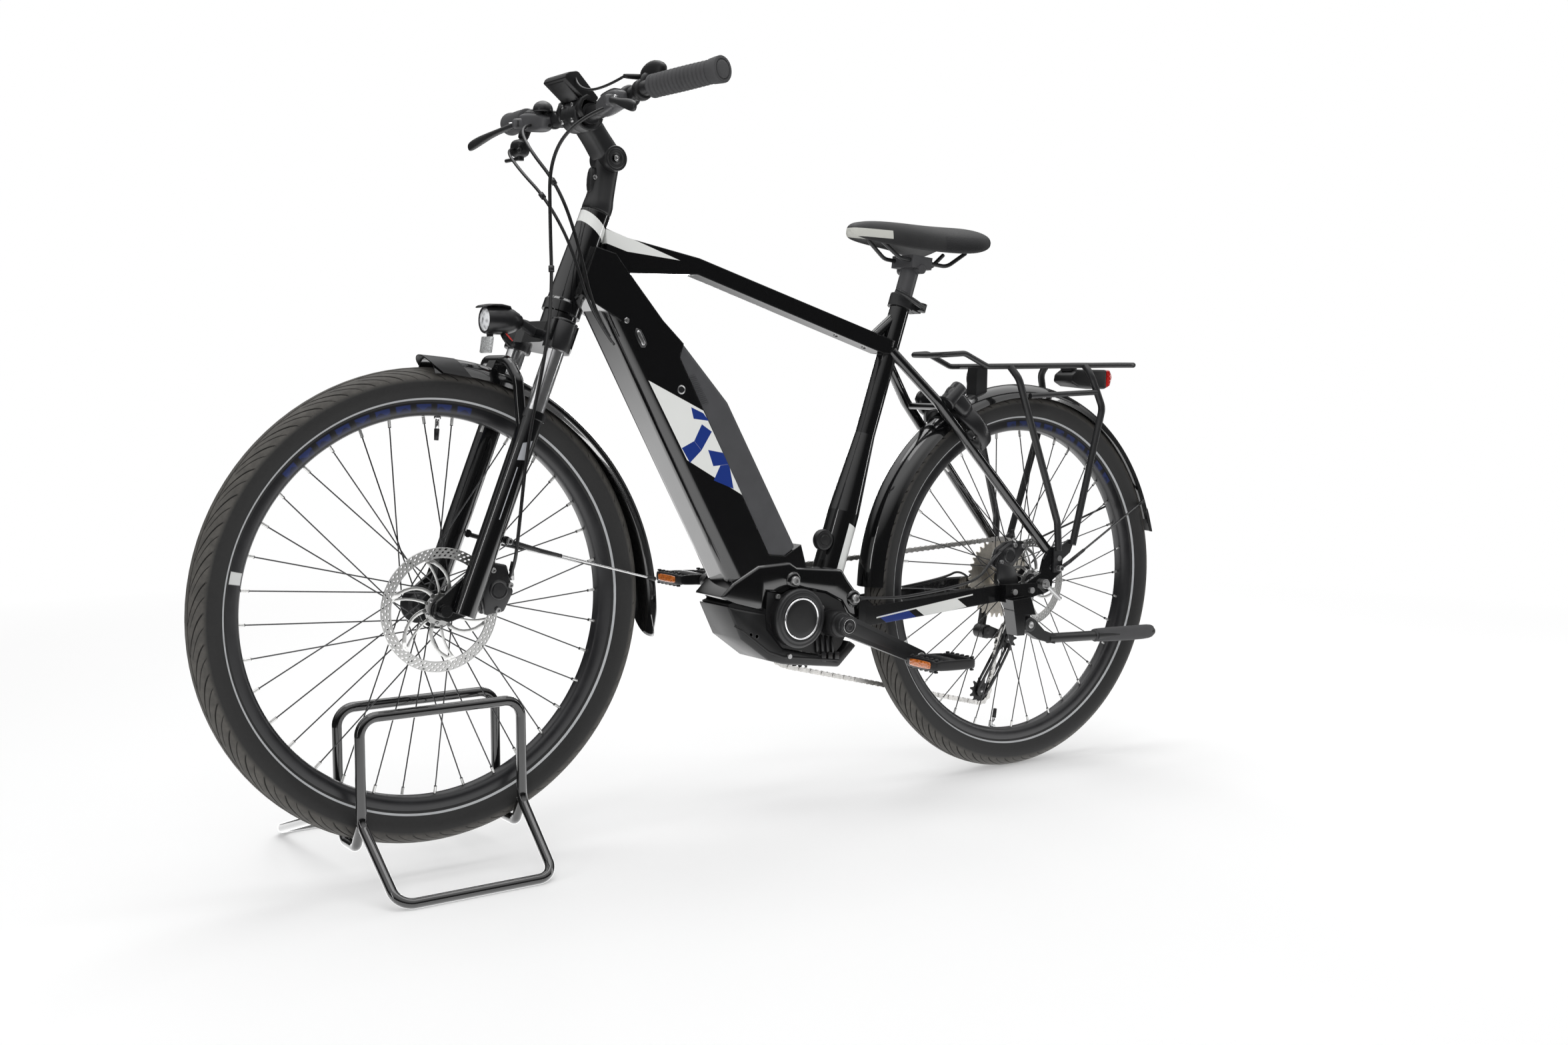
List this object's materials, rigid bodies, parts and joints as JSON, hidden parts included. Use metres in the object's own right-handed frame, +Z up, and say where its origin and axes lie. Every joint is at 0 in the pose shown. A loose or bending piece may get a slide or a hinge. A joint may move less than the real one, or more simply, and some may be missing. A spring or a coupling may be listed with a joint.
{
  "type": "bicycle on stand",
  "caption": "Electric trekking bicycle with battery in the down tube, guards, rack and lights, its front wheel held in a tubular floor stand.",
  "frame": {"origin": "on the floor, at the middle of the bounding box", "axes": "+X to the rear of the bicycle, +Y to the rider's right, +Z up"},
  "size_m": [1.8792, 0.6597, 1.1758],
  "materials": {
    "frame_black": "gloss",
    "satin_black": "satin",
    "dark_plastic": "matt",
    "battery_cover": "matt",
    "guard_black": "gloss",
    "tyre": "matt",
    "rim_black": "anodised",
    "spoke_dark": "satin",
    "disc_steel": "brushed",
    "cassette_steel": "satin",
    "chain_steel": "satin",
    "bolt_steel": "satin",
    "grip_rubber": "ribbed",
    "cable_black": "matt",
    "saddle_cover": "matt",
    "lamp_black": "gloss",
    "stand_black": "powder coat"
  },
  "bodies": {
    "frame": {"down_tube": "frame_black", "top_tube": "frame_black", "seat_tube": "frame_black", "chain_stays": "frame_black", "seat_stays": "frame_black", "motor_cradle": "frame_black", "drive_unit": "dark_plastic", "skid_plate": "dark_plastic", "frame_fasteners": "bolt_steel", "rear_mudguard": "guard_black", "rack": "satin_black", "tail_light": "lamp_black", "ring_lock": "dark_plastic", "rear_caliper": "satin_black", "derailleur_body": "satin_black", "chain": "chain_steel", "frame_cables": "cable_black", "kickstand_mount": "satin_black", "seat_clamp": "satin_black"},
    "battery": {"battery": "battery_cover"},
    "lock_shackle": {"lock_shackle": "bolt_steel"},
    "kickstand": {"kickstand_leg": "satin_black"},
    "clamp_lever": {"seat_clamp_lever": "satin_black"},
    "seat_post": {"seatpost": "satin_black", "saddle_rails": "chain_steel", "saddle": "saddle_cover"},
    "rear_wheel": {"rear_tyre": "tyre", "rear_rim": "rim_black", "rear_spokes": "spoke_dark", "rear_hub": "rim_black", "rear_rotor": "disc_steel"},
    "cassette": {"cassette": "cassette_steel"},
    "cage": {"derailleur_cage": "satin_black"},
    "guide_pulley": {"guide_pulley": "dark_plastic"},
    "tension_pulley": {"tension_pulley": "dark_plastic"},
    "crankset": {"cranks": "satin_black", "chainring": "chain_steel"},
    "left_pedal": {"left_pedal": "dark_plastic"},
    "right_pedal": {"right_pedal": "dark_plastic"},
    "steering": {"fork_uppers": "frame_black", "stem_base": "satin_black", "headlight": "lamp_black", "steering_cables": "cable_black"},
    "cockpit": {"stem_arm": "satin_black", "handlebar": "satin_black", "grips": "grip_rubber", "controls": "dark_plastic", "display": "lamp_black"},
    "left_lever": {"brake_lever_left": "satin_black"},
    "right_lever": {"brake_lever_right": "satin_black"},
    "shift_lever": {"shift_lever": "dark_plastic"},
    "fork_lower": {"fork_lowers": "frame_black", "front_caliper": "satin_black", "front_mudguard": "guard_black"},
    "front_wheel": {"front_tyre": "tyre", "front_rim": "rim_black", "front_spokes": "spoke_dark", "front_hub": "rim_black", "front_rotor": "disc_steel"},
    "stand": {"stand": "stand_black"}
  },
  "joints": [
    {"name": "steering_turn", "type": "hinge", "parent": "frame", "child": "steering", "pos_m": [-0.37177, 0, 0.81799], "axis": [0.373, 0, 0.9278], "range_deg": [-60, 60], "deforming": ["steering_cables"]},
    {"name": "fork_travel", "type": "slide", "parent": "steering", "child": "fork_lower", "axis": [0.373, 0, 0.9278], "range_m": [0, 0.014], "stiffness_N_per_m": 9000, "springref_m": -0.03, "deforming": ["steering_cables"]},
    {"name": "stem_tilt", "type": "hinge", "parent": "steering", "child": "cockpit", "pos_m": [-0.2867, 0, 1.05399], "axis": [0, 1, 0], "range_deg": [-35, 12], "deforming": ["steering_cables"]},
    {"name": "left_brake", "type": "hinge", "parent": "cockpit", "child": "left_lever", "pos_m": [-0.3643, -0.145, 1.11802], "axis": [0.0384, 0, 0.9993], "range_deg": [0, 18], "stiffness_Nm_per_rad": 0.6, "springref_deg": -11.46},
    {"name": "right_brake", "type": "hinge", "parent": "cockpit", "child": "right_lever", "pos_m": [-0.3643, 0.145, 1.11802], "axis": [-0.0384, 0, -0.9993], "range_deg": [0, 18], "stiffness_Nm_per_rad": 0.6, "springref_deg": -11.46},
    {"name": "shift", "type": "hinge", "parent": "cockpit", "child": "shift_lever", "pos_m": [-0.34819, 0.172, 1.06836], "axis": [-0.0384, 0, -0.9993], "range_deg": [0, 25], "stiffness_Nm_per_rad": 0.1, "springref_deg": -11.46},
    {"name": "front_wheel_spin", "type": "hinge", "parent": "fork_lower", "child": "front_wheel", "pos_m": [-0.59422, 0, 0.3917], "axis": [0, -1, 0], "continuous": true},
    {"name": "rear_wheel_spin", "type": "hinge", "parent": "frame", "child": "rear_wheel", "pos_m": [0.56922, 0, 0.347], "axis": [0, -1, 0], "continuous": true},
    {"name": "crank_spin", "type": "hinge", "parent": "frame", "child": "crankset", "pos_m": [0.10655, 0, 0.31224], "axis": [0, -1, 0], "continuous": true},
    {"name": "cassette_spin", "type": "hinge", "parent": "frame", "child": "cassette", "pos_m": [0.56922, 0, 0.347], "axis": [0, -1, 0], "continuous": true},
    {"name": "guide_spin", "type": "hinge", "parent": "cage", "child": "guide_pulley", "pos_m": [0.59267, 0, 0.22801], "axis": [0, -1, 0], "continuous": true},
    {"name": "tension_spin", "type": "hinge", "parent": "cage", "child": "tension_pulley", "pos_m": [0.52607, 0, 0.1355], "axis": [0, -1, 0], "continuous": true},
    {"name": "left_pedal_spin", "type": "hinge", "parent": "crankset", "child": "left_pedal", "pos_m": [0.26221, -0.15, 0.24391], "axis": [0, -1, 0], "continuous": true},
    {"name": "right_pedal_spin", "type": "hinge", "parent": "crankset", "child": "right_pedal", "pos_m": [-0.04912, 0.15, 0.38057], "axis": [0, -1, 0], "continuous": true},
    {"name": "cage_swing", "type": "hinge", "parent": "frame", "child": "cage", "pos_m": [0.54828, 0, 0.24473], "axis": [0, 1, 0], "range_deg": [-15, 18], "stiffness_Nm_per_rad": 1.2, "springref_deg": 25.78, "deforming": ["chain"]},
    {"name": "kickstand_swing", "type": "hinge", "parent": "frame", "child": "kickstand", "pos_m": [0.51557, -0.0945, 0.27901], "axis": [0, 1, 0], "range_deg": [0, 50]},
    {"name": "seat_height", "type": "slide", "parent": "frame", "child": "seat_post", "axis": [0.3289, 0, 0.9444], "range_m": [-0.03, 0.08]},
    {"name": "seat_clamp_release", "type": "hinge", "parent": "frame", "child": "clamp_lever", "pos_m": [0.32172, -0.024, 0.84194], "axis": [0.3289, 0, 0.9444], "range_deg": [0, 110]},
    {"name": "battery_release", "type": "slide", "parent": "frame", "child": "battery", "axis": [0.8837, 0, 0.4681], "range_m": [0, 0.1]},
    {"name": "lock_close", "type": "hinge", "parent": "frame", "child": "lock_shackle", "pos_m": [0.42487, 0, 0.63113], "axis": [0.7536, 0, 0.6574], "range_deg": [0, 112], "stiffness_Nm_per_rad": 0.06, "springref_deg": -68.75},
    {"name": "stand_off", "type": "slide", "parent": "fork_lower", "child": "stand", "axis": [0, 0, -1], "range_m": [0, 0.3]}
  ],
  "couplings": [
    {"joint": "cassette_spin", "follows": "crank_spin", "ratio": 1.2222},
    {"joint": "guide_spin", "follows": "crank_spin", "ratio": -4},
    {"joint": "tension_spin", "follows": "crank_spin", "ratio": 4}
  ]
}
